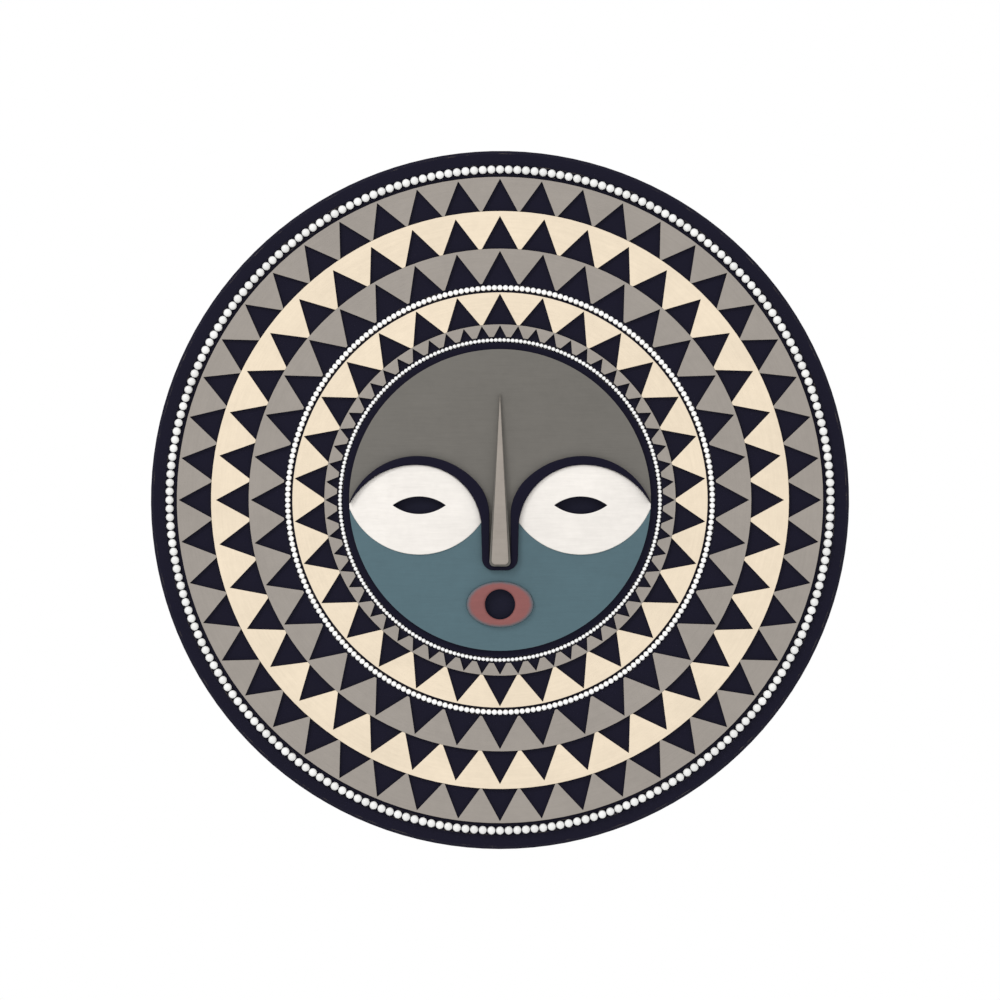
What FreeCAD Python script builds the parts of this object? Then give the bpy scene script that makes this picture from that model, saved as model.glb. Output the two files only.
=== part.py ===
"""Round painted wooden wall mask: a stylised face inside rings of teeth and beads.

The face looks along -Y, +Z is up and +X is the right-hand side as the face is seen
from in front.  The origin is the centre of the back, on the wall.  A height is a
distance forward from the wall, so it is -Y.  All sizes are in millimetres.
"""
import FreeCAD
import Part
import math
import os

Vector = FreeCAD.Vector

# ---- driving dimensions ------------------------------------------------------
# The stack of layers, as heights above the wall
BATTEN_DEPTH = 10.0
BOARD_THICKNESS = 9.0
BOARD_BACK = BATTEN_DEPTH
BOARD_FRONT = BOARD_BACK + BOARD_THICKNESS

# The round board and its grooves
BOARD_RADIUS = 200.0
FRONT_EDGE_CHAMFER = 1.6
BACK_EDGE_CHAMFER = 0.8
GROOVE_DEPTH = 0.5
GROOVE_MARGIN = 0.12

# Toothed bands cut from thin plywood: each has triangular notches in its inner edge
BAND_THICKNESS = 2.0
BANDS = {
    "band_outer_grey": dict(inner=165.5, outer=185.05, apex=184.0, teeth=48, base=0.947),
    "band_outer_cream": dict(inner=143.95, outer=165.5, apex=162.7, teeth=40, base=0.923),
    "band_middle_grey": dict(inner=124.15, outer=143.95, apex=142.7, teeth=36, base=0.945),
    "band_inner_cream": dict(inner=100.6, outer=118.9, apex=118.2, teeth=30, base=0.93),
    "band_inner_grey": dict(inner=93.45, outer=100.6, apex=100.1, teeth=60, base=0.737),
}

# Rows of flat-backed beads, each in its own groove
BEADS_PER_ROW = 240
BEAD_SEAT = 0.72
BEAD_ROWS = {
    "beads_outer": dict(row=189.3, bead=2.4),
    "beads_middle": dict(row=121.6, bead=1.585),
    "beads_inner": dict(row=91.6, bead=1.19),
}

# The domed face disc and the panels laid on it
FACE_DISC_RADIUS = 90.2
FACE_EDGE_HEIGHT = 1.5
FACE_DOME_RADIUS = 620.0
PANEL_RADIUS = 86.35
PANEL_THICKNESS = 2.0

# The eyes, drawn for the side where x is negative
EYE_OUTER_CORNER = (-87.0, -3.3)
EYE_TOP = (-47.9, 20.2)
EYE_INNER_CORNER = (-10.7, -12.9)
EYE_BOTTOM = (-46.2, -31.25)
EYE_RISE = 4.3
EYE_DOME_RADIUS = 200.0
SLIT_CENTRE = (-46.2, -3.0)
SLIT_HALF_WIDTH = 15.1
SLIT_HALF_HEIGHT = 4.95

# The ribbon that makes both brows and the outline of the nose
BROW_TOP = (-47.4, 25.2)
BROW_FOOT = (-14.0, 11.0)
RIBBON_HEIGHT = 4.8
NOSE_INNER_HALF_WIDTH = 6.05
NOSE_INNER_BOTTOM = -38.0
NOSE_INNER_CORNER = 2.7
NOSE_OUTER_HALF_WIDTH = 10.2
NOSE_OUTER_BOTTOM = -40.2
NOSE_OUTER_CORNER = 6.7

# The nose: a bridge that leans out from the forehead, and a long thin wedge laid on it
NOSE_TIP_Z = 61.0
NOSE_LEAN = 2.5
BRIDGE_TIP_RISE = 0.4
WEDGE_BOTTOM_Z = -36.95
WEDGE_HALF_WIDTH = 4.85
WEDGE_CORNER = 2.3
WEDGE_THICKNESS = 1.8

# The mouth
MOUTH_Z = -59.7
LIPS_HALF_WIDTH = 19.2
LIPS_HALF_HEIGHT = 13.15
MOUTH_HOLE_RADIUS = 8.55
LIPS_RISE = 4.4
LIPS_ROUNDING = 1.7

# Two battens, halved into each other behind the middle of the board
BATTEN_WIDTH = 24.0
BATTEN_LENGTH = 300.0
BATTEN_CHAMFER = 3.0

# Countersunk screws, through the battens and through the board into the face disc
SINK_HEAD_RADIUS = 3.4
SINK_HEAD_DEPTH = 2.6
SINK_SHANK_RADIUS = 1.75
BATTEN_SCREW_LENGTH = 16.0
BATTEN_SCREW_OFFSETS = (-140.0, -45.0, 45.0, 140.0)
FACE_SCREW_LENGTH = 12.0
FACE_SCREW_RING = 68.0
FACE_SCREW_COUNT = 4
CROSS_SLOT_LENGTH = 3.6
CROSS_SLOT_WIDTH = 0.8
CROSS_SLOT_DEPTH = 1.2

# Two strap hangers, each with a free D-shaped ring
HANGER_X = 90.0
HANGER_AXIS_Z = 78.0
WIRE_RADIUS = 1.2
WIRE_CLEARANCE = 0.06
STRAP_SHEET = 1.0
STRAP_WIDTH = 10.0
STRAP_LENGTH = 31.0
STRAP_CORNER = 4.5
RING_HALF_WIDTH = 14.2
RING_CORNER = 2.5
RING_LENGTH = 18.2
PAN_HEAD_RADIUS = 3.2
PAN_HEAD_HEIGHT = 1.8
PAN_HEAD_ROUNDING = 1.1
PAN_SHANK_RADIUS = 1.5
PAN_SCREW_LENGTH = 8.0
PAN_SCREW_DROPS = (8.0, 25.0)

# ---- values worked out from them ---------------------------------------------
FAR = 2 * BOARD_RADIUS
TOUCH = 0.01
FORWARD = Vector(0, -1, 0)
FACE_EDGE_DROP = FACE_DOME_RADIUS - math.sqrt(FACE_DOME_RADIUS ** 2 - FACE_DISC_RADIUS ** 2)
FACE_CROWN = BOARD_FRONT + FACE_EDGE_HEIGHT + FACE_EDGE_DROP
LOOP_RADIUS = WIRE_RADIUS + WIRE_CLEARANCE + STRAP_SHEET
HANGER_AXIS_HEIGHT = BOARD_BACK - LOOP_RADIUS
STRAP_FACE = BOARD_BACK - STRAP_SHEET


def at(x, height, z):
    """A point at a height above the wall."""
    return Vector(x, -height, z)


def disc(radius, low, high):
    """A round slab about the mask's axis, between two heights."""
    return Part.makeCylinder(radius, high - low, at(0, low, 0), FORWARD)


def slab(outline, low, high):
    """The solid that a closed outline, drawn in the wall plane, sweeps between two heights."""
    base = Part.Face(outline)
    base.translate(FORWARD * low)
    return base.extrude(FORWARD * (high - low))


def column(outline):
    """An outline's solid, running from the wall to far in front of the mask."""
    return slab(outline, 0, FAR)


def mirrored(shape):
    """The same shape on the other side of the mask's upright middle plane."""
    return shape.mirror(Vector(0, 0, 0), Vector(1, 0, 0))


def export(name, shape):
    """Write one sub-part."""
    if not shape.isValid():
        raise ValueError(name + " is not a valid shape")
    print(f"{name}: {len(shape.Solids)} solid(s), {shape.Volume:.1f} mm3")
    shape.exportStep(os.path.join("parts", name + ".step"))


# ---- outlines in the wall plane ------------------------------------------------
def line(start, end):
    return Part.LineSegment(at(start[0], 0, start[1]), at(end[0], 0, end[1])).toShape()


def arc(start, middle, end):
    points = [at(x, 0, z) for x, z in (start, middle, end)]
    return Part.Arc(*points).toShape()


def crown_radius(top, end):
    """Radius of the arc that is level at its top and passes through its end."""
    run = end[0] - top[0]
    drop = end[1] - top[1]
    return (run ** 2 + drop ** 2) / (2 * drop)


def crown_arc(top, end):
    """The arc from a point where it is level to its end, and its half-way point."""
    radius = crown_radius(top, end)
    centre = (top[0], top[1] + radius)
    half_turn = math.asin((end[0] - top[0]) / radius) / 2
    middle = (centre[0] + radius * math.sin(half_turn), centre[1] - radius * math.cos(half_turn))
    return arc(top, middle, end)


def corner_arc(side_x, bottom_z, radius):
    """The rounded bottom corner on the negative side, from its side down to its bottom."""
    centre = (side_x + radius, bottom_z + radius)
    reach = radius * math.sqrt(0.5)
    return arc((side_x, centre[1]), (centre[0] - reach, centre[1] - reach), (centre[0], bottom_z))


def symmetric_outline(half, start, bottom):
    """Close a half outline, from its start beyond the face down to the bottom, with its mirror."""
    top_corner = (-FAR, FAR)
    side_corner = (-FAR, start[1])
    edges = [line(top_corner, side_corner), line(side_corner, start)] + half
    other_side = [mirrored(edge) for edge in edges]
    joins = [line(bottom, (-bottom[0], bottom[1])), line(top_corner, (-top_corner[0], top_corner[1]))]
    return Part.Wire(Part.__sortEdges__(edges + other_side + joins))


def eye_outline():
    return Part.Wire([
        crown_arc(EYE_TOP, EYE_OUTER_CORNER),
        crown_arc(EYE_BOTTOM, EYE_OUTER_CORNER),
        crown_arc(EYE_BOTTOM, EYE_INNER_CORNER),
        crown_arc(EYE_TOP, EYE_INNER_CORNER),
    ])


def slit_outline():
    x, z = SLIT_CENTRE
    left = (x - SLIT_HALF_WIDTH, z)
    right = (x + SLIT_HALF_WIDTH, z)
    upper = arc(left, (x, z + SLIT_HALF_HEIGHT), right)
    lower = arc(right, (x, z - SLIT_HALF_HEIGHT), left)
    return Part.Wire([upper, lower])


def upper_face_outline():
    """All that lies above the eyes, with the nose: the ribbon's outer edge bounds it."""
    side_foot = (-NOSE_OUTER_HALF_WIDTH, NOSE_OUTER_BOTTOM + NOSE_OUTER_CORNER)
    bottom = (-NOSE_OUTER_HALF_WIDTH + NOSE_OUTER_CORNER, NOSE_OUTER_BOTTOM)
    half = [
        crown_arc(EYE_TOP, EYE_OUTER_CORNER),
        crown_arc(EYE_TOP, EYE_INNER_CORNER),
        line(EYE_INNER_CORNER, side_foot),
        corner_arc(-NOSE_OUTER_HALF_WIDTH, NOSE_OUTER_BOTTOM, NOSE_OUTER_CORNER),
    ]
    return symmetric_outline(half, EYE_OUTER_CORNER, bottom)


def forehead_outline():
    """The forehead with the inside of the nose: the ribbon's inner edge bounds it."""
    brow_radius = abs(crown_radius(BROW_TOP, BROW_FOOT))
    # A second arc leaves the brow without a corner and ends upright beside the nose
    turn = math.acos((BROW_FOOT[0] - BROW_TOP[0]) / brow_radius)
    bend = (-NOSE_INNER_HALF_WIDTH - BROW_FOOT[0]) / (1 - math.cos(turn))
    centre = (-NOSE_INNER_HALF_WIDTH - bend, BROW_FOOT[1] - bend * math.sin(turn))
    middle = (centre[0] + bend * math.cos(turn / 2), centre[1] + bend * math.sin(turn / 2))
    upright = (-NOSE_INNER_HALF_WIDTH, centre[1])
    side_foot = (-NOSE_INNER_HALF_WIDTH, NOSE_INNER_BOTTOM + NOSE_INNER_CORNER)
    bottom = (-NOSE_INNER_HALF_WIDTH + NOSE_INNER_CORNER, NOSE_INNER_BOTTOM)
    half = [
        crown_arc(BROW_TOP, EYE_OUTER_CORNER),
        crown_arc(BROW_TOP, BROW_FOOT),
        arc(BROW_FOOT, middle, upright),
        line(upright, side_foot),
        corner_arc(-NOSE_INNER_HALF_WIDTH, NOSE_INNER_BOTTOM, NOSE_INNER_CORNER),
    ]
    return symmetric_outline(half, EYE_OUTER_CORNER, bottom)


def nose_outline(half_width, bottom_z, corner):
    """A tall triangle with a blunt, round-cornered foot."""
    side_foot = (-half_width, bottom_z + corner)
    bottom = (-half_width + corner, bottom_z)
    half = [
        line((0, NOSE_TIP_Z), side_foot),
        corner_arc(-half_width, bottom_z, corner),
    ]
    other_half = [mirrored(edge) for edge in half]
    join = line(bottom, (-bottom[0], bottom[1]))
    return Part.Wire(Part.__sortEdges__(half + other_half + [join]))


def lips_outline():
    ellipse = Part.Ellipse(at(0, 0, MOUTH_Z), LIPS_HALF_WIDTH, LIPS_HALF_HEIGHT)
    ellipse.Axis = FORWARD
    ellipse.XAxis = Vector(1, 0, 0)
    return Part.Wire([ellipse.toShape()])


def toothed_face(inner, outer, apex, teeth, base):
    """A flat ring whose inner edge is cut by triangles, the first of them straight up."""
    pitch = 2 * math.pi / teeth
    half_base = base * pitch / 2

    def polar(radius, turn):
        return (radius * math.sin(turn), radius * math.cos(turn))

    edges = []
    for tooth in range(teeth):
        turn = tooth * pitch
        left = polar(inner, turn - half_base)
        tip = polar(apex, turn)
        right = polar(inner, turn + half_base)
        next_left = polar(inner, turn + pitch - half_base)
        land = polar(inner, turn + pitch / 2)
        edges += [line(left, tip), line(tip, right), arc(right, land, next_left)]
    outside = Part.Wire([Part.makeCircle(outer, Vector(0, 0, 0), FORWARD)])
    return Part.makeFace([outside, Part.Wire(edges)], "Part::FaceMakerBullseye")


# ---- the domed face --------------------------------------------------------------
def dome(rise):
    """The ball whose front is the face disc's front, raised by a constant amount."""
    centre = at(0, FACE_CROWN - FACE_DOME_RADIUS, 0)
    return Part.makeSphere(FACE_DOME_RADIUS + rise, centre)


def leaning_dome(rise):
    """The forehead panel's front, turned forward about the nose's tip and then raised."""
    radius = FACE_DOME_RADIUS + PANEL_THICKNESS
    centre = at(0, FACE_CROWN - FACE_DOME_RADIUS, 0)
    tip = centre + at(0, math.sqrt(radius ** 2 - NOSE_TIP_Z ** 2), NOSE_TIP_Z)
    turn = FreeCAD.Rotation(Vector(1, 0, 0), -NOSE_LEAN)
    return Part.makeSphere(radius + rise, tip + turn.multVec(centre - tip))


def on_face(outline, rise):
    """A piece of even thickness laid on the face disc."""
    return column(outline).common(dome(rise)).cut(dome(0))


def make_face_disc():
    return disc(FACE_DISC_RADIUS, BOARD_FRONT, FAR).common(dome(0))


def make_eye():
    x, z = SLIT_CENTRE
    centre_of_face = at(0, FACE_CROWN - FACE_DOME_RADIUS, 0)
    depth = math.sqrt(FACE_DOME_RADIUS ** 2 - x ** 2 - z ** 2)
    outward = Vector(x, -depth, z).normalize()
    ball_centre = centre_of_face + outward * (FACE_DOME_RADIUS + EYE_RISE - EYE_DOME_RADIUS)
    almond = column(eye_outline()).common(disc(PANEL_RADIUS, 0, FAR))
    rounded = almond.common(Part.makeSphere(EYE_DOME_RADIUS, ball_centre))
    return rounded.cut(dome(0)).cut(column(slit_outline()))


def make_face_pieces():
    circle = Part.Wire([Part.makeCircle(PANEL_RADIUS, Vector(0, 0, 0), FORWARD)])
    upper = column(upper_face_outline())
    forehead_column = column(forehead_outline())
    eye_column = column(eye_outline())
    lips_column = column(lips_outline())
    panel = on_face(circle, PANEL_THICKNESS)
    raised = on_face(circle, RIBBON_HEIGHT)
    forehead = panel.common(upper).common(forehead_column)
    ribbon = raised.common(upper).cut(forehead_column)
    cheek = panel.cut(upper).cut(eye_column).cut(mirrored(eye_column)).cut(lips_column)
    return forehead, ribbon, cheek


def make_nose():
    """The bridge, which fills the foot of the nose's outline, and the wedge along its front."""
    under_bridge = column(nose_outline(NOSE_INNER_HALF_WIDTH, NOSE_INNER_BOTTOM, NOSE_INNER_CORNER))
    under_wedge = column(nose_outline(WEDGE_HALF_WIDTH, WEDGE_BOTTOM_Z, WEDGE_CORNER))
    bridge = under_bridge.common(leaning_dome(BRIDGE_TIP_RISE)).cut(dome(PANEL_THICKNESS))
    wedge = under_wedge.common(leaning_dome(BRIDGE_TIP_RISE + WEDGE_THICKNESS))
    return bridge, wedge.cut(leaning_dome(BRIDGE_TIP_RISE))


def make_lips():
    hole = disc(MOUTH_HOLE_RADIUS, 0, FAR)
    hole.translate(Vector(0, 0, MOUTH_Z))
    lips = on_face(lips_outline(), LIPS_RISE).cut(hole)
    front = max(lips.Faces, key=lambda face: -face.CenterOfMass.y)
    return lips.makeFillet(LIPS_ROUNDING, front.Edges)


# ---- bands and beads ---------------------------------------------------------------
def make_band(sizes):
    ring = toothed_face(**sizes)
    ring.translate(FORWARD * BOARD_FRONT)
    return ring.extrude(FORWARD * BAND_THICKNESS)


def make_bead_row(row, bead):
    """Flat-backed beads, side by side on the floor of their groove."""
    centre_height = BOARD_FRONT - GROOVE_DEPTH + BEAD_SEAT * bead
    flat = -math.degrees(math.asin(BEAD_SEAT))
    beads = []
    for index in range(BEADS_PER_ROW):
        turn = 2 * math.pi * index / BEADS_PER_ROW
        centre = at(row * math.sin(turn), centre_height, row * math.cos(turn))
        beads.append(Part.makeSphere(bead, centre, FORWARD, flat, 90, 360))
    return Part.makeCompound(beads)


# ---- screws --------------------------------------------------------------------------
def cross_slot(x, z, height):
    """The crossed recess in a screw's head."""
    long_half = CROSS_SLOT_LENGTH / 2
    thin_half = CROSS_SLOT_WIDTH / 2
    bars = []
    for half_x, half_z in ((long_half, thin_half), (thin_half, long_half)):
        corner = at(x - half_x, height + CROSS_SLOT_DEPTH, z - half_z)
        bars.append(Part.makeBox(2 * half_x, 2 * CROSS_SLOT_DEPTH, 2 * half_z, corner))
    return bars[0].fuse(bars[1])


def sink_screw_body(x, z, height, length):
    """A countersunk screw with its head flush with a back face, driven forwards."""
    cone = Part.makeCone(SINK_HEAD_RADIUS, SINK_SHANK_RADIUS, SINK_HEAD_DEPTH, at(x, height, z), FORWARD)
    shank_start = at(x, height + SINK_HEAD_DEPTH, z)
    shank = Part.makeCylinder(SINK_SHANK_RADIUS, length - SINK_HEAD_DEPTH, shank_start, FORWARD)
    return cone.fuse(shank).removeSplitter()


def pan_screw_body(x, z):
    """A domed screw whose head lies on a hanger strap, driven into the board."""
    shank = Part.makeCylinder(PAN_SHANK_RADIUS, PAN_SCREW_LENGTH, at(x, STRAP_FACE, z), FORWARD)
    head_start = at(x, STRAP_FACE - PAN_HEAD_HEIGHT, z)
    head = Part.makeCylinder(PAN_HEAD_RADIUS, PAN_HEAD_HEIGHT, head_start, FORWARD)
    back_rim = [edge for edge in head.Edges if abs(edge.CenterOfMass.y - head_start.y) < TOUCH]
    head = head.makeFillet(PAN_HEAD_ROUNDING, back_rim)
    return head.fuse(shank)


def batten_screw_places():
    return [(0, offset) for offset in BATTEN_SCREW_OFFSETS] + [(offset, 0) for offset in BATTEN_SCREW_OFFSETS]


def face_screw_places():
    places = []
    for index in range(FACE_SCREW_COUNT):
        turn = (index + 0.5) * 2 * math.pi / FACE_SCREW_COUNT
        places.append((FACE_SCREW_RING * math.sin(turn), FACE_SCREW_RING * math.cos(turn)))
    return places


def hanger_screw_places():
    return [(side * HANGER_X, HANGER_AXIS_Z - drop) for side in (-1, 1) for drop in PAN_SCREW_DROPS]


# ---- board and battens -----------------------------------------------------------------
def make_board():
    """A round board with both rims broken by small chamfers and a groove under each row of beads."""
    board = disc(BOARD_RADIUS, BOARD_BACK, BOARD_FRONT)
    for height, chamfer in ((BOARD_FRONT, FRONT_EDGE_CHAMFER), (BOARD_BACK, BACK_EDGE_CHAMFER)):
        rim = [edge for edge in board.Edges
               if isinstance(edge.Curve, Part.Circle) and abs(edge.CenterOfMass.y + height) < TOUCH]
        board = board.makeChamfer(chamfer, rim)
    for sizes in BEAD_ROWS.values():
        outer = disc(sizes["row"] + sizes["bead"] + GROOVE_MARGIN, BOARD_FRONT - GROOVE_DEPTH, FAR)
        inner = disc(sizes["row"] - sizes["bead"] - GROOVE_MARGIN, 0, FAR)
        board = board.cut(outer.cut(inner))
    return board


def make_batten():
    """An upright batten with sloping ends, before its middle is halved."""
    half_length = BATTEN_LENGTH / 2
    half_width = BATTEN_WIDTH / 2
    profile = [
        at(-half_width, 0, -half_length + BATTEN_CHAMFER),
        at(-half_width, 0, half_length - BATTEN_CHAMFER),
        at(-half_width, BATTEN_CHAMFER, half_length),
        at(-half_width, BATTEN_DEPTH, half_length),
        at(-half_width, BATTEN_DEPTH, -half_length),
        at(-half_width, BATTEN_CHAMFER, -half_length),
    ]
    side = Part.Face(Part.makePolygon(profile + profile[:1]))
    return side.extrude(Vector(BATTEN_WIDTH, 0, 0))


def make_battens():
    crossing = Part.makeBox(BATTEN_WIDTH, BATTEN_DEPTH / 2, BATTEN_WIDTH)
    lower_corner = at(-BATTEN_WIDTH / 2, BATTEN_DEPTH / 2, -BATTEN_WIDTH / 2)
    back_half = crossing.copy()
    back_half.translate(lower_corner)
    front_half = crossing.copy()
    front_half.translate(lower_corner + FORWARD * (BATTEN_DEPTH / 2))
    upright = make_batten().cut(front_half)
    level = make_batten()
    level.rotate(Vector(0, 0, 0), Vector(0, 1, 0), 90)
    return upright, level.cut(back_half)


# ---- hangers ---------------------------------------------------------------------------
def make_strap(x):
    """A steel strip, rolled round the ring's straight wire at its top and screwed down flat."""
    foot_z = HANGER_AXIS_Z - STRAP_LENGTH
    low_corner = at(x - STRAP_WIDTH / 2, BOARD_BACK, foot_z)
    plate = Part.makeBox(STRAP_WIDTH, STRAP_SHEET, STRAP_LENGTH, low_corner)
    foot_corners = [edge for edge in plate.Edges
                    if edge.Length < STRAP_WIDTH and abs(edge.CenterOfMass.z - foot_z) < TOUCH]
    plate = plate.makeFillet(STRAP_CORNER, foot_corners)
    axis_end = at(x - STRAP_WIDTH / 2, HANGER_AXIS_HEIGHT, HANGER_AXIS_Z)
    roll = Part.makeCylinder(LOOP_RADIUS, STRAP_WIDTH, axis_end, Vector(1, 0, 0))
    bore = Part.makeCylinder(WIRE_RADIUS + WIRE_CLEARANCE, STRAP_WIDTH, axis_end, Vector(1, 0, 0))
    return plate.fuse(roll).cut(bore).removeSplitter()


def make_hanger_ring(x):
    """A D of round wire, hanging down from its straight side."""
    def place(across, drop):
        return at(x + across, HANGER_AXIS_HEIGHT, HANGER_AXIS_Z - drop)

    straight = RING_HALF_WIDTH - RING_CORNER
    corner_reach = RING_CORNER * math.sqrt(0.5)
    side_foot = RING_LENGTH - RING_HALF_WIDTH
    bend = (straight + corner_reach, RING_CORNER - corner_reach)
    right_foot = place(RING_HALF_WIDTH, side_foot)
    left_foot = place(-RING_HALF_WIDTH, side_foot)
    path = [
        Part.LineSegment(place(-straight, 0), place(straight, 0)),
        Part.Arc(place(straight, 0), place(*bend), place(RING_HALF_WIDTH, RING_CORNER)),
        Part.LineSegment(place(RING_HALF_WIDTH, RING_CORNER), right_foot),
        Part.Arc(right_foot, place(0, RING_LENGTH), left_foot),
        Part.LineSegment(left_foot, place(-RING_HALF_WIDTH, RING_CORNER)),
        Part.Arc(place(-RING_HALF_WIDTH, RING_CORNER), place(-bend[0], bend[1]), place(-straight, 0)),
    ]
    spine = Part.Wire([curve.toShape() for curve in path])
    section = Part.Wire([Part.makeCircle(WIRE_RADIUS, place(-straight, 0), Vector(1, 0, 0))])
    return spine.makePipeShell([section], True, False)


# ---- build everything --------------------------------------------------------------------
def main():
    os.makedirs("parts", exist_ok=True)

    batten_screws = [sink_screw_body(x, z, 0, BATTEN_SCREW_LENGTH) for x, z in batten_screw_places()]
    face_screws = [sink_screw_body(x, z, BOARD_BACK, FACE_SCREW_LENGTH) for x, z in face_screw_places()]
    hanger_screws = [pan_screw_body(x, z) for x, z in hanger_screw_places()]
    all_screws = Part.makeCompound(batten_screws + face_screws + hanger_screws)

    export("base_board", make_board().cut(all_screws))
    upright, level = make_battens()
    export("batten_vertical", upright.cut(Part.makeCompound(batten_screws)))
    export("batten_horizontal", level.cut(Part.makeCompound(batten_screws)))

    for name, sizes in BANDS.items():
        export(name, make_band(sizes))
    for name, sizes in BEAD_ROWS.items():
        export(name, make_bead_row(**sizes))

    export("face_disc", make_face_disc().cut(Part.makeCompound(face_screws)))
    forehead, ribbon, cheek = make_face_pieces()
    export("forehead_panel", forehead)
    export("brow_nose_ribbon", ribbon)
    export("cheek_panel", cheek)
    eye = make_eye()
    export("eye_left", eye)
    export("eye_right", mirrored(eye))
    bridge, wedge = make_nose()
    export("nose_bridge", bridge)
    export("nose_wedge", wedge)
    export("lips", make_lips())

    for side, x in (("left", -HANGER_X), ("right", HANGER_X)):
        export("hanger_strap_" + side, make_strap(x).cut(all_screws))
        export("hanger_ring_" + side, make_hanger_ring(x))

    slotted_batten_screws = [screw.cut(cross_slot(x, z, 0))
                             for screw, (x, z) in zip(batten_screws, batten_screw_places())]
    slotted_face_screws = [screw.cut(cross_slot(x, z, BOARD_BACK))
                           for screw, (x, z) in zip(face_screws, face_screw_places())]
    slotted_hanger_screws = [screw.cut(cross_slot(x, z, STRAP_FACE - PAN_HEAD_HEIGHT))
                             for screw, (x, z) in zip(hanger_screws, hanger_screw_places())]
    export("batten_screws", Part.makeCompound(slotted_batten_screws))
    export("face_screws", Part.makeCompound(slotted_face_screws))
    export("hanger_screws", Part.makeCompound(slotted_hanger_screws))


main()
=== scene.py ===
"""The looks of a round painted wall mask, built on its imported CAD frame.

Metres, +Z up.  The face looks along -Y, so a height in front of the wall is -Y.
"""
import math
import random

import bmesh
import bpy
from mathutils import Matrix, Vector


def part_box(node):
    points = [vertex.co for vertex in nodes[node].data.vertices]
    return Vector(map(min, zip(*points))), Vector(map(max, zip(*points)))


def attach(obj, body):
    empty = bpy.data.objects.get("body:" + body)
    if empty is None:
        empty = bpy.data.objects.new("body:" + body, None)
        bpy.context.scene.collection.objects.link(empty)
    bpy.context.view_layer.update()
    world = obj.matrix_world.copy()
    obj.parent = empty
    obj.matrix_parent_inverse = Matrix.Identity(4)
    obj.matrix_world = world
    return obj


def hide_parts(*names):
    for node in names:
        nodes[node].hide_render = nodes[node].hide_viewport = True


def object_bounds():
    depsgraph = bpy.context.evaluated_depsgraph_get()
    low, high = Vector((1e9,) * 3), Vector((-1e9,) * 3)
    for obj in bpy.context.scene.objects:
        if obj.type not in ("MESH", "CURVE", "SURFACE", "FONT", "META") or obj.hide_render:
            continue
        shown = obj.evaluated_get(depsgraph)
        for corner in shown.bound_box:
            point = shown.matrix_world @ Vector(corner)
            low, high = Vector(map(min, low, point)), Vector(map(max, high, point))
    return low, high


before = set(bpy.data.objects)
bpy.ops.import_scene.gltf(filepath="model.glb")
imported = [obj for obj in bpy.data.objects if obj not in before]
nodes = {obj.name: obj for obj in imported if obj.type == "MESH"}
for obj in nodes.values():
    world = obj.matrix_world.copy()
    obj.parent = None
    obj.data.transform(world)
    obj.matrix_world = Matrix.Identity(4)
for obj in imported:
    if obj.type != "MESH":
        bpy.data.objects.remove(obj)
cad_low, cad_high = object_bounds()

MM = 0.001

# ---- sizes of the object that the materials need -------------------------------------
SLIT_CENTRE = (-46.2 * MM, -3.0 * MM)
SLIT_HALF_WIDTH = 15.1 * MM
SLIT_HALF_HEIGHT = 4.95 * MM
MOUTH_HOLE_RADIUS = 8.55 * MM
PANEL_RADIUS = 86.35 * MM
BOARD_BACK_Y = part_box("base_board")[1].y
BOARD_RADIUS = cad_high.x

# ---- beads ---------------------------------------------------------------------------
BEADS_PER_ROW = 240
# In radii of the bead: how far its middle stands above its flat, and its thread hole's radius
BEAD_SEAT = 0.72
BEAD_HOLE = 0.2
# The floor of the thread hole: how far along it lies from the bead's middle to its end, and
# its radius as a share of the hole's
HOLE_FLOOR_REACH = 0.55
HOLE_FLOOR_NARROWING = 0.92
# Each bead differs a little in its size along, above and across its row, and in its lean
BEAD_LENGTHS = (0.965, 0.995)
BEAD_HEIGHTS = (0.96, 1.0)
BEAD_WIDTHS = (0.975, 1.0)
MOST_LEAN_DEGREES = 4

# ---- the studio ----------------------------------------------------------------------
DISC_SHARE = 0.6979       # the disc's width over the frame's
LENS = 500                # long, so that the view is almost parallel
SENSOR_WIDTH = 36
KEY_LAMP_PLACE = (-1.6, -2.0, 2.0)
KEY_LAMP_SIZE = 0.9
KEY_LAMP_WATTS = 30
# The floor is far below, since the mask hangs high on a wall
FLOOR_DROP = 2.8
FLOOR_HALF_SIZE = 60.0
# A surface that faces the camera gets this much light in all, and its faint gloss adds some glare,
# so paints are darker than they look
LIGHT_ON_THE_FACE = 1.15
PAINT_GLARE = 0.017
NAVY_GLARE = 0.0078

# ---- surfaces ------------------------------------------------------------------------
# How much of the dark paint is rubbed off at its edges
NAVY_WEAR = 0.16
# How strongly each kind of surface shines; the dark paint is the dullest
PAINT_SHINE = 0.2
NAVY_SHINE = 0.08
BOARD_SHINE = 0.1
BARE_WOOD_SHINE = 0.3
FULL_SHINE = 0.5
# How far outside the edge of a recess its navy paint starts, and where it is solid
RECESS_PAINT_START = 0.16 * MM
RECESS_PAINT_FULL = 0.04 * MM


def linear(red, green, blue):
    """Linear colour from sRGB values between 0 and 255."""
    def channel(value):
        value /= 255
        return value / 12.92 if value <= 0.04045 else ((value + 0.055) / 1.055) ** 2.4
    return (channel(red), channel(green), channel(blue), 1.0)


def pigment(red, green, blue, glare=PAINT_GLARE):
    """The paint that looks like this sRGB colour under the studio's light."""
    seen = linear(red, green, blue)
    return tuple((value - glare) / LIGHT_ON_THE_FACE for value in seen[:3]) + (1.0,)


NAVY = pigment(32, 31, 44, NAVY_GLARE)
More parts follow.
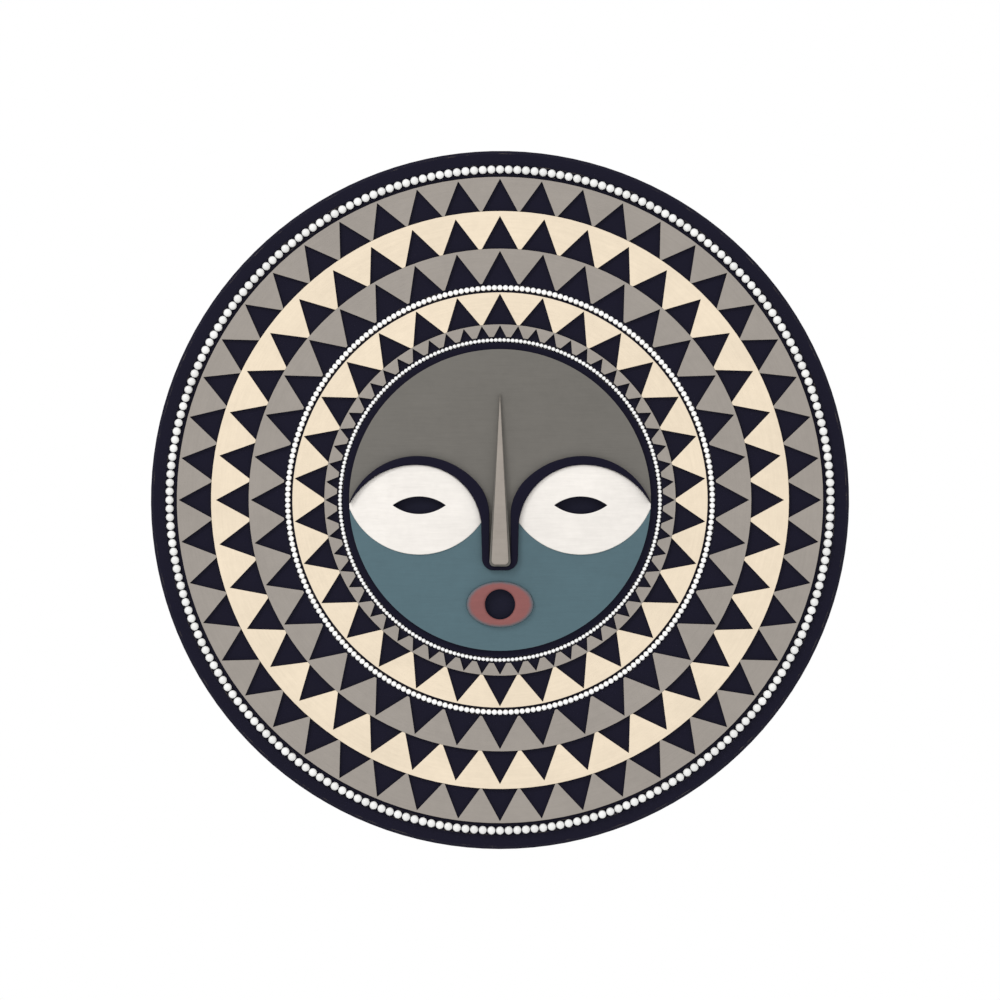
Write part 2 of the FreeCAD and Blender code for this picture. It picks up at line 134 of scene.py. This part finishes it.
# Painted light: the bottoms of the eye slits and the mouth are shaded, so their navy is painted a little
# paler to offset that shade
PAINTED_LIGHT_NAVY = pigment(38, 38, 51, NAVY_GLARE)
GREY = pigment(161, 154, 147)
CREAM = pigment(239, 223, 199)
DARK_GREY = pigment(117, 114, 109)
TEAL = pigment(91, 114, 122)
EYE_WHITE = pigment(244, 239, 233)
TAN = pigment(162, 154, 146)
RED = pigment(146, 96, 94)
PRIMER = pigment(222, 206, 180)
PINE = pigment(222, 188, 140)
PLY = pigment(214, 184, 142)


# ---- node-building helper ------------------------------------------------------------
class Shader:
    """Adds nodes to one material and joins them, each call giving back an output socket."""

    def __init__(self, name):
        self.material = bpy.data.materials.new(name)
        self.material.use_nodes = True
        self.tree = self.material.node_tree
        self.surface = self.tree.nodes["Principled BSDF"]

    def put(self, socket, value):
        if isinstance(value, bpy.types.NodeSocket):
            self.tree.links.new(value, socket)
        else:
            socket.default_value = value

    def node(self, kind, inputs=None, **settings):
        made = self.tree.nodes.new("ShaderNode" + kind)
        for key, value in settings.items():
            setattr(made, key, value)
        for key, value in (inputs or {}).items():
            self.put(made.inputs[key], value)
        return made

    def math(self, operation, first, second=0.0, third=0.0):
        made = self.node("Math", operation=operation)
        for socket, value in zip(made.inputs, (first, second, third)):
            self.put(socket, value)
        return made.outputs[0]

    def swing(self, value, amount, base):
        """The base, plus a value between 0 and 1 as a change of up to half the amount each way."""
        return self.math("ADD", self.math("MULTIPLY_ADD", value, amount, -0.5 * amount), base)

    def vector(self, x, y, z):
        return self.node("CombineXYZ", {"X": x, "Y": y, "Z": z}).outputs[0]

    def place(self):
        """Object coordinates in metres, as a vector and as x, y and z."""
        spot = self.node("TexCoord").outputs["Object"]
        parts = self.node("SeparateXYZ", {"Vector": spot}).outputs
        return spot, parts["X"], parts["Y"], parts["Z"]

    def scaled(self, vector, factors):
        made = self.node("VectorMath", operation="MULTIPLY")
        self.put(made.inputs[0], vector)
        made.inputs[1].default_value = factors
        return made.outputs[0]

    def length(self, x, z):
        """Distance from the axis through the origin along Y."""
        made = self.node("VectorMath", operation="LENGTH")
        self.put(made.inputs[0], self.vector(x, 0.0, z))
        return made.outputs["Value"]

    def noise(self, vector, scale=1.0, detail=3.0, roughness=0.5, distortion=0.0):
        made = self.node("TexNoise", {"Vector": vector, "Scale": scale, "Detail": detail,
                                      "Roughness": roughness, "Distortion": distortion})
        return made.outputs["Fac"]

    def ramp(self, value, low, high):
        """0 at the low value and 1 at the high one, with a smooth step between."""
        made = self.node("MapRange", {"Value": value, "From Min": low, "From Max": high},
                         interpolation_type="SMOOTHSTEP")
        return made.outputs["Result"]

    def mix(self, factor, first, second, blend="MIX"):
        made = self.node("Mix", data_type="RGBA", blend_type=blend)
        # A Mix node has one socket of each name for every data type: 6 and 7 are the colours
        self.put(made.inputs[0], factor)
        self.put(made.inputs[6], first)
        self.put(made.inputs[7], second)
        return made.outputs[2]

    def mix_value(self, factor, first, second):
        made = self.node("Mix", data_type="FLOAT")
        self.put(made.inputs[0], factor)
        self.put(made.inputs[2], first)
        self.put(made.inputs[3], second)
        return made.outputs[0]

    def tint(self, colour, amount):
        """The colour made lighter or darker by a value about 1."""
        return self.mix(1.0, colour, self.vector(amount, amount, amount), "MULTIPLY")

    def edges(self, radius):
        """About 1 on outer edges and 0 on flats, from how far a rounded normal leans."""
        rounded = self.node("Bevel", {"Radius": radius}, samples=4).outputs[0]
        true = self.node("NewGeometry").outputs["Normal"]
        lean = self.node("VectorMath", operation="DOT_PRODUCT")
        self.put(lean.inputs[0], rounded)
        self.put(lean.inputs[1], true)
        return self.ramp(lean.outputs["Value"], 0.999, 0.93)

    def finish(self, colour, roughness, height, specular):
        """Join a layer to the surface; the height is in metres."""
        self.put(self.surface.inputs["Base Color"], colour)
        self.put(self.surface.inputs["Roughness"], roughness)
        relief = self.node("Bump", {"Height": height, "Distance": 1.0, "Strength": 1.0})
        self.put(self.surface.inputs["Normal"], relief.outputs["Normal"])
        self.surface.inputs["Specular IOR Level"].default_value = specular
        return self.material


# ---- paint ---------------------------------------------------------------------------
def stroke_place(shader, strokes, spot, x, z, seed):
    """Coordinates stretched along the brush strokes: round the ring, or straight across."""
    if strokes == "level":
        return shader.scaled(spot, (55.0, 300.0, 800.0))
    radius = shader.length(x, z)
    turn_x = shader.math("MULTIPLY", shader.math("DIVIDE", x, radius), 7.0)
    turn_z = shader.math("MULTIPLY", shader.math("DIVIDE", z, radius), 7.0)
    return shader.vector(turn_x, turn_z, shader.math("MULTIPLY_ADD", radius, 850.0, seed))


def paint_layer(shader, colour, strokes, wear, seed):
    """Colour, roughness and height of brushed matt paint over sanded plywood.

    It has thin and thick strokes, the wood's grain showing through as relief, and edges
    that are rubbed down to the pale primer here and there.
    """
    spot, x, _, z = shader.place()
    along_strokes = stroke_place(shader, strokes, spot, x, z, seed)
    brushing = shader.noise(along_strokes, detail=4.0, roughness=0.65)
    along_grain = shader.scaled(spot, (34.0, 500.0, 1000.0))
    grain = shader.noise(along_grain, detail=3.0, roughness=0.6, distortion=0.3)
    clouds = shader.noise(spot, scale=16.0 + seed, detail=4.0, roughness=0.6)
    mottle = shader.noise(spot, scale=240.0, detail=3.0)
    speckle = shader.noise(spot, scale=2400.0, detail=1.0)

    lightness = shader.swing(clouds, 0.20, 1.0)
    lightness = shader.swing(brushing, 0.17, lightness)
    lightness = shader.swing(mottle, 0.10, lightness)
    painted = shader.tint(colour, lightness)

    patches = shader.ramp(shader.noise(spot, scale=95.0 + seed, detail=5.0, roughness=0.7), 0.5, 0.64)
    rubbed = shader.math("MULTIPLY", shader.edges(0.45 * MM), patches)
    painted = shader.mix(shader.math("MULTIPLY", rubbed, wear), painted, PRIMER)

    roughness = shader.swing(mottle, 0.12, shader.swing(brushing, 0.22, 0.62))
    height = shader.math("MULTIPLY", grain, 0.10 * MM)
    height = shader.math("MULTIPLY_ADD", brushing, 0.09 * MM, height)
    height = shader.math("MULTIPLY_ADD", speckle, 0.02 * MM, height)
    return painted, roughness, height


def painted_wood(name, colour, strokes="ring", wear=0.3, specular=PAINT_SHINE, seed=0.0):
    """A piece with one coat of one colour."""
    shader = Shader(name)
    return shader.finish(*paint_layer(shader, colour, strokes, wear, seed), specular)


def face_disc_material():
    """Navy paint, painted paler under the panels as painted light, since only the shaded bottoms of the
    recesses show there.
    """
    shader = Shader("paint_face_disc")
    _, x, _, z = shader.place()
    lit_under_panels = shader.ramp(shader.length(x, z), PANEL_RADIUS - 0.5 * MM, PANEL_RADIUS - 2.0 * MM)
    navy = shader.mix(lit_under_panels, NAVY, PAINTED_LIGHT_NAVY)
    return shader.finish(*paint_layer(shader, navy, "ring", NAVY_WEAR, 1.0), NAVY_SHINE)


def eye_material(side, seed):
    """Off-white paint on an eye, with the walls of its slit painted a paler navy, painted light that
    offsets the slit's shade.
    """
    shader = Shader("paint_eye_" + side)
    colour, roughness, height = paint_layer(shader, EYE_WHITE, "level", 0.15, seed)
    _, x, _, z = shader.place()
    # The slit is where two discs overlap, one above the other
    arc_radius = (SLIT_HALF_WIDTH ** 2 + SLIT_HALF_HEIGHT ** 2) / (2 * SLIT_HALF_HEIGHT)
    shift = arc_radius - SLIT_HALF_HEIGHT
    from_middle = shader.math("SUBTRACT", shader.math("ABSOLUTE", x), -SLIT_CENTRE[0])
    reaches = []
    for way in (-1, 1):
        from_centre = shader.math("ADD", z, way * shift - SLIT_CENTRE[1])
        reaches.append(shader.length(from_middle, from_centre))
    reach = shader.math("MAXIMUM", *reaches)
    inside = shader.ramp(reach, arc_radius + RECESS_PAINT_START, arc_radius + RECESS_PAINT_FULL)
    return shader.finish(shader.mix(inside, colour, PAINTED_LIGHT_NAVY), roughness, height, PAINT_SHINE)


def lips_material():
    """Red paint, feathered into the cheek's teal round the outside, and a paler navy inside the hole,
    painted light that offsets the hole's shade.
    """
    shader = Shader("paint_lips")
    colour, roughness, height = paint_layer(shader, RED, "level", 0.1, 15.0)
    spot, x, _, z = shader.place()
    low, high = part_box("lips")
    middle = (low.z + high.z) / 2
    across = shader.math("DIVIDE", x, high.x)
    upward = shader.math("DIVIDE", shader.math("SUBTRACT", z, middle), high.z - middle)
    ragged = shader.noise(spot, scale=420.0, detail=3.0)
    reach = shader.swing(ragged, 0.08, shader.length(across, upward))
    colour = shader.mix(shader.math("MULTIPLY", shader.ramp(reach, 0.84, 1.02), 0.9), colour, TEAL)
    from_hole = shader.length(x, shader.math("SUBTRACT", z, middle))
    inside = shader.ramp(from_hole, MOUTH_HOLE_RADIUS + RECESS_PAINT_START,
                         MOUTH_HOLE_RADIUS + RECESS_PAINT_FULL)
    return shader.finish(shader.mix(inside, colour, PAINTED_LIGHT_NAVY), roughness, height, PAINT_SHINE)


# ---- bare wood -----------------------------------------------------------------------
def wood_layer(shader, colour, across, depth, along, seed, ring_depth):
    """Colour, roughness and height of planed bare wood, from coordinates across and along its grain."""
    broad_place = shader.vector(shader.math("MULTIPLY_ADD", across, 9.0, seed),
                                shader.math("MULTIPLY", depth, 30.0),
                                shader.math("MULTIPLY", along, 1.5))
    broad = shader.noise(broad_place, detail=2.0, distortion=0.4)
    contour = shader.math("FRACT", shader.math("MULTIPLY", broad, 16.0))
    rings = shader.math("MULTIPLY", shader.ramp(contour, 0.35, 0.92), shader.ramp(contour, 1.0, 0.93))
    fine_place = shader.vector(shader.math("MULTIPLY", across, 1500.0),
                               shader.math("MULTIPLY", depth, 1500.0),
                               shader.math("MULTIPLY_ADD", along, 38.0, seed))
    pores = shader.ramp(shader.noise(fine_place, detail=2.0, roughness=0.6), 0.52, 0.72)
    drift_place = shader.vector(shader.math("MULTIPLY", across, 14.0),
                                shader.math("MULTIPLY", depth, 14.0),
                                shader.math("MULTIPLY_ADD", along, 5.0, seed))
    drift = shader.noise(drift_place, detail=3.0)

    lightness = shader.math("MULTIPLY_ADD", rings, -ring_depth, 1.06)
    lightness = shader.math("MULTIPLY_ADD", pores, -0.2, lightness)
    wood = shader.tint(colour, shader.swing(drift, 0.3, lightness))
    figure = shader.math("MULTIPLY_ADD", pores, -0.6, rings)
    roughness = shader.math("MULTIPLY_ADD", figure, 0.1, 0.62)
    return wood, roughness, shader.math("MULTIPLY", figure, 0.06 * MM)


def batten_wood(name, upright, seed):
    """Planed pine with its grain along the batten."""
    shader = Shader(name)
    _, x, y, z = shader.place()
    across, along = (x, z) if upright else (z, x)
    return shader.finish(*wood_layer(shader, PINE, across, y, along, seed, 0.34), BARE_WOOD_SHINE)


def board_material():
    """Navy paint on the front and round the edge, and bare plywood behind a ragged line of paint."""
    shader = Shader("board_paint_and_ply")
    painted = paint_layer(shader, NAVY, "level", 0.2, 3.0)
    spot, x, y, z = shader.place()
    bare = wood_layer(shader, PLY, z, y, x, 5.0, 0.22)
    on_the_back = shader.ramp(y, BOARD_BACK_Y - 0.35 * MM, BOARD_BACK_Y - 0.15 * MM)
    overrun = shader.noise(spot, scale=24.0, detail=2.0, roughness=0.45)
    bristles = shader.noise(spot, scale=420.0, detail=3.0, roughness=0.6)
    reach = shader.math("MULTIPLY_ADD", overrun, 9.0 * MM, shader.length(x, z))
    reach = shader.swing(bristles, 1.4 * MM, reach)
    inside = shader.ramp(reach, BOARD_RADIUS - 1.2 * MM, BOARD_RADIUS - 1.7 * MM)
    share = shader.math("MULTIPLY", on_the_back, inside)
    return shader.finish(shader.mix(share, painted[0], bare[0]),
                         shader.mix_value(share, painted[1], bare[1]),
                         shader.mix_value(share, painted[2], bare[2]), BOARD_SHINE)


# ---- glaze and metal -----------------------------------------------------------------
def bead_material():
    """Opaque white glaze, a little different from bead to bead, with painted shade: brown at the floor of
    each short thread hole.
    """
    shader = Shader("white_glazed_bead")
    shade = shader.node("Attribute", attribute_name="bead_shade").outputs["Fac"]
    hollow = shader.node("Attribute", attribute_name="bead_hole").outputs["Fac"]
    spot = shader.place()[0]
    specks = shader.ramp(shader.noise(spot, scale=1500.0, detail=2.0), 0.67, 0.76)
    white = shader.mix(shade, linear(253, 253, 252), linear(222, 222, 220))
    white = shader.mix(shader.math("MULTIPLY", specks, 0.2), white, linear(200, 188, 170))
    # Painted shade: the floor of each short thread hole, and its wall near the floor, darkened to brown
    white = shader.mix(hollow, white, linear(96, 82, 66))
    swirl = shader.noise(spot, scale=700.0, detail=2.0)
    roughness = shader.math("MULTIPLY_ADD", swirl, 0.18, 0.14)
    shader.surface.inputs["Coat Weight"].default_value = 0.3
    shader.surface.inputs["Coat Roughness"].default_value = 0.08
    return shader.finish(white, roughness, shader.math("MULTIPLY", swirl, 0.03 * MM), FULL_SHINE)


def metal(name, colour, tarnish, roughness):
    """Plated steel with fine rolling lines and dull patches."""
    shader = Shader(name)
    spot = shader.place()[0]
    patches = shader.ramp(shader.noise(spot, scale=160.0, detail=5.0, roughness=0.7), 0.42, 0.7)
    lines = shader.noise(shader.scaled(spot, (3500.0, 3500.0, 180.0)), detail=2.0)
    dull = shader.math("MULTIPLY_ADD", patches, 0.2, roughness)
    dull = shader.math("MULTIPLY_ADD", lines, 0.12, dull)
    shader.surface.inputs["Metallic"].default_value = 1.0
    return shader.finish(shader.mix(patches, colour, tarnish), dull,
                         shader.math("MULTIPLY", lines, 0.012 * MM), FULL_SHINE)


# ---- modifiers on the CAD nodes ------------------------------------------------------
def smooth_faces_group():
    """A node group that joins coincident points and shades every face smooth."""
    group = bpy.data.node_groups.new("weld_and_smooth", "GeometryNodeTree")
    group.interface.new_socket("Geometry", in_out="INPUT", socket_type="NodeSocketGeometry")
    group.interface.new_socket("Geometry", in_out="OUTPUT", socket_type="NodeSocketGeometry")
    start = group.nodes.new("NodeGroupInput")
    weld = group.nodes.new("GeometryNodeMergeByDistance")
    weld.inputs["Distance"].default_value = 0.002 * MM
    smooth = group.nodes.new("GeometryNodeSetShadeSmooth")
    end = group.nodes.new("NodeGroupOutput")
    group.links.new(start.outputs[0], weld.inputs["Geometry"])
    group.links.new(weld.outputs["Geometry"], smooth.inputs["Geometry"])
    group.links.new(smooth.outputs["Geometry"], end.inputs[0])
    return group


WELD_AND_SMOOTH = smooth_faces_group()


def soften(name, width, segments=2, angle=32):
    """Round a CAD node's edges with modifiers, without touching its mesh."""
    piece = nodes[name]
    weld = piece.modifiers.new("weld", "NODES")
    weld.node_group = WELD_AND_SMOOTH
    bevel = piece.modifiers.new("rounded_edges", "BEVEL")
    bevel.width = width
    bevel.segments = segments
    bevel.limit_method = "ANGLE"
    bevel.angle_limit = math.radians(angle)
    bevel.miter_outer = "MITER_ARC"
    normals = piece.modifiers.new("normals", "WEIGHTED_NORMAL")
    normals.weight = 60


def carve(name, voxel, rounds):
    """Round a CAD node over like a hand-sanded carving: an even remesh, then smoothing."""
    piece = nodes[name]
    remesh = piece.modifiers.new("even_mesh", "REMESH")
    remesh.mode = "VOXEL"
    remesh.voxel_size = voxel
    remesh.use_smooth_shade = True
    smooth = piece.modifiers.new("sanded", "SMOOTH")
    smooth.factor = 0.5
    smooth.iterations = rounds


def paint(name, material):
    """Give a CAD node its material in every slot."""
    slots = nodes[name].data.materials
    for index in range(len(slots)):
        slots[index] = material


# ---- beads ---------------------------------------------------------------------------
def bead_mesh(radius, around=18, along=11):
    """One flat-backed bead: a ball pierced along X, with its flat on the +Y side."""
    hole = BEAD_HOLE * radius
    first_turn = math.asin(hole / radius)
    profile = []
    for step in range(along + 1):
        turn = first_turn + (math.pi - 2 * first_turn) * step / along
        profile.append((radius * math.cos(turn), radius * math.sin(turn)))
    hole_end = (HOLE_FLOOR_REACH * profile[0][0], HOLE_FLOOR_NARROWING * hole)
    profile = [hole_end] + profile + [(-hole_end[0], hole_end[1])]
    mesh = bmesh.new()
    holes = mesh.verts.layers.float.new("bead_hole")
    rings = []
    for index, (axial, radial) in enumerate(profile):
        ring = []
        for side in range(around):
            turn = 2 * math.pi * side / around
            vert = mesh.verts.new((axial, -radial * math.cos(turn), radial * math.sin(turn)))
            vert[holes] = 1.0 if index in (0, len(profile) - 1) else 0.0
            ring.append(vert)
        rings.append(ring)
    for first, second in zip(rings, rings[1:]):
        for side in range(around):
            after = (side + 1) % around
            mesh.faces.new((first[side], second[side], second[after], first[after]))
    mesh.faces.new(list(reversed(rings[0])))
    mesh.faces.new(rings[-1])
    cut = bmesh.ops.bisect_plane(mesh, geom=mesh.verts[:] + mesh.edges[:] + mesh.faces[:],
                                 plane_co=(0, BEAD_SEAT * radius, 0), plane_no=(0, 1, 0), clear_outer=True)
    edges = [item for item in cut["geom_cut"] if isinstance(item, bmesh.types.BMEdge)]
    bmesh.ops.holes_fill(mesh, edges=edges)
    bmesh.ops.recalc_face_normals(mesh, faces=mesh.faces[:])
    return mesh


def bead_row(name, material, shade_range, seed):
    """Replace a row of plain CAD beads with pierced ones, each set a little differently."""
    chance = random.Random(seed)
    low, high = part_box(name)
    radius = (high.y - low.y) / (1 + BEAD_SEAT)
    row = high.x - radius
    template = bead_mesh(radius)
    points = [vert.co.copy() for vert in template.verts]
    holes = template.verts.layers.float["bead_hole"]
    hollow = [vert[holes] for vert in template.verts]
    template.verts.index_update()
    faces = [[vert.index for vert in face.verts] for face in template.faces]
    template.free()
    verts, all_faces, shades = [], [], []
    for index in range(BEADS_PER_ROW):
        stretch = Vector([chance.uniform(*limits) for limits in (BEAD_LENGTHS, BEAD_HEIGHTS, BEAD_WIDTHS)])
        turn = math.radians(chance.uniform(-MOST_LEAN_DEGREES, MOST_LEAN_DEGREES))
        lean = Matrix.Rotation(turn, 4, "Y")
        round_ring = Matrix.Rotation(2 * math.pi * index / BEADS_PER_ROW, 4, "Y")
        seat = Vector((0, high.y - BEAD_SEAT * radius, row))
        shade = chance.uniform(*shade_range)
        start = len(verts)
        for point in points:
            # Only the domed front changes in height, so that every flat stays on the groove's floor
            lift = stretch.y if point.y < 0 else 1.0
            sized = Vector((point.x * stretch.x, point.y * lift, point.z * stretch.z))
            verts.append(round_ring @ (seat + lean @ sized))
        all_faces += [[start + corner for corner in face] for face in faces]
        shades += [shade] * len(points)
    mesh = bpy.data.meshes.new(name + "_pierced")
    mesh.from_pydata(verts, [], all_faces)
    mesh.attributes.new("bead_shade", "FLOAT", "POINT").data.foreach_set("value", shades)
    mesh.attributes.new("bead_hole", "FLOAT", "POINT").data.foreach_set("value", hollow * BEADS_PER_ROW)
    mesh.shade_smooth()
    mesh.set_sharp_from_angle(angle=math.radians(50))
    mesh.materials.append(material)
    beads = bpy.data.objects.new(name + "_pierced", mesh)
    bpy.context.scene.collection.objects.link(beads)
    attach(beads, "mask")
    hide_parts(name)


# ---- stage ---------------------------------------------------------------------------
def make_camera():
    """Straight on, from far away."""
    data = bpy.data.cameras.new("camera")
    data.lens = LENS
    data.sensor_width = SENSOR_WIDTH
    data.clip_end = 100
    camera = bpy.data.objects.new("camera", data)
    bpy.context.scene.collection.objects.link(camera)
    frame_width = 2 * BOARD_RADIUS / DISC_SHARE
    distance = frame_width * LENS / SENSOR_WIDTH
    rim_y = (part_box("base_board")[0].y + BOARD_BACK_Y) / 2
    camera.location = (0, rim_y - distance, 0)
    camera.rotation_euler = (math.pi / 2, 0, 0)
    bpy.context.scene.camera = camera


def make_lights():
    """Even white light from all round, and one soft lamp up on the left."""
    world = bpy.data.worlds.new("studio")
    world.use_nodes = True
    background = world.node_tree.nodes["Background"]
    background.inputs["Color"].default_value = (1, 1, 1, 1)
    background.inputs["Strength"].default_value = 1.0
    bpy.context.scene.world = world
    data = bpy.data.lights.new("key", "AREA")
    data.shape = "SQUARE"
    data.size = KEY_LAMP_SIZE
    data.energy = KEY_LAMP_WATTS
    key = bpy.data.objects.new("key", data)
    key.location = KEY_LAMP_PLACE
    key.rotation_euler = (-key.location).to_track_quat("-Z", "Y").to_euler()
    bpy.context.scene.collection.objects.link(key)


def make_floor():
    """White paper that runs out of sight."""
    shader = Shader("white_paper")
    spot = shader.place()[0]
    fibres = shader.noise(spot, scale=900.0, detail=3.0)
    paper = shader.mix(fibres, (1, 1, 1, 1), (0.995, 0.995, 0.99, 1))
    size = FLOOR_HALF_SIZE
    height = cad_low.z - FLOOR_DROP
    corners = [(-size, -size, height), (size, -size, height), (size, size, height), (-size, size, height)]
    mesh = bpy.data.meshes.new("floor")
    mesh.from_pydata(corners, [], [(0, 1, 2, 3)])
    mesh.materials.append(shader.finish(paper, 1.0, 0.0, 0.0))
    floor = bpy.data.objects.new("floor", mesh)
    bpy.context.scene.collection.objects.link(floor)


# ---- put it together -----------------------------------------------------------------
bpy.context.scene.view_settings.view_transform = "Standard"
make_camera()
make_lights()
make_floor()

paint("base_board", board_material())
soften("base_board", 0.35 * MM, angle=40)
for name, colour in (("band_outer_grey", GREY), ("band_outer_cream", CREAM), ("band_middle_grey", GREY),
                     ("band_inner_cream", CREAM), ("band_inner_grey", GREY)):
    paint(name, painted_wood("paint_" + name, colour, seed=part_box(name)[1].x * 100))
    soften(name, 0.22 * MM)

paint("face_disc", face_disc_material())
soften("face_disc", 0.5 * MM)
forehead_paint = painted_wood("paint_forehead", DARK_GREY, "level", 0.2, seed=7.0)
paint("forehead_panel", forehead_paint)
paint("cheek_panel", painted_wood("paint_cheek", TEAL, "level", 0.2, seed=8.0))
for name in ("forehead_panel", "cheek_panel"):
    soften(name, 0.2 * MM)
for side, seed in (("left", 11.0), ("right", 12.0)):
    paint("eye_" + side, eye_material(side, seed))
    carve("eye_" + side, 0.3 * MM, 5)
paint("brow_nose_ribbon", painted_wood("paint_ribbon", NAVY, "level", NAVY_WEAR, NAVY_SHINE, 13.0))
carve("brow_nose_ribbon", 0.3 * MM, 5)
paint("nose_bridge", forehead_paint)
carve("nose_bridge", 0.25 * MM, 4)
paint("nose_wedge", painted_wood("paint_nose", TAN, "level", 0.3, seed=14.0))
carve("nose_wedge", 0.25 * MM, 5)
paint("lips", lips_material())
carve("lips", 0.3 * MM, 8)

glaze = bead_material()
# The large beads get a greyer glaze than the small ones: partly a tone of their own, partly painted light,
# the small inner rows' glaze being whiter to offset the shade they sit in
bead_row("beads_outer", glaze, (0.6, 1.0), 0)
bead_row("beads_middle", glaze, (0.0, 0.4), 1)
bead_row("beads_inner", glaze, (0.0, 0.3), 2)

paint("batten_vertical", batten_wood("pine_upright", True, 2.0))
paint("batten_horizontal", batten_wood("pine_level", False, 9.0))
for name in ("batten_vertical", "batten_horizontal"):
    carve(name, 0.5 * MM, 2)
zinc = metal("zinc_plate", (0.62, 0.63, 0.65, 1), (0.42, 0.42, 0.42, 1), 0.3)
brass = metal("brass_plate", (0.73, 0.55, 0.26, 1), (0.38, 0.25, 0.12, 1), 0.25)
for name in ("batten_screws", "face_screws", "hanger_screws"):
    paint(name, zinc)
    soften(name, 0.12 * MM)
for side in ("left", "right"):
    paint("hanger_strap_" + side, brass)
    soften("hanger_strap_" + side, 0.15 * MM)
    paint("hanger_ring_" + side, brass)
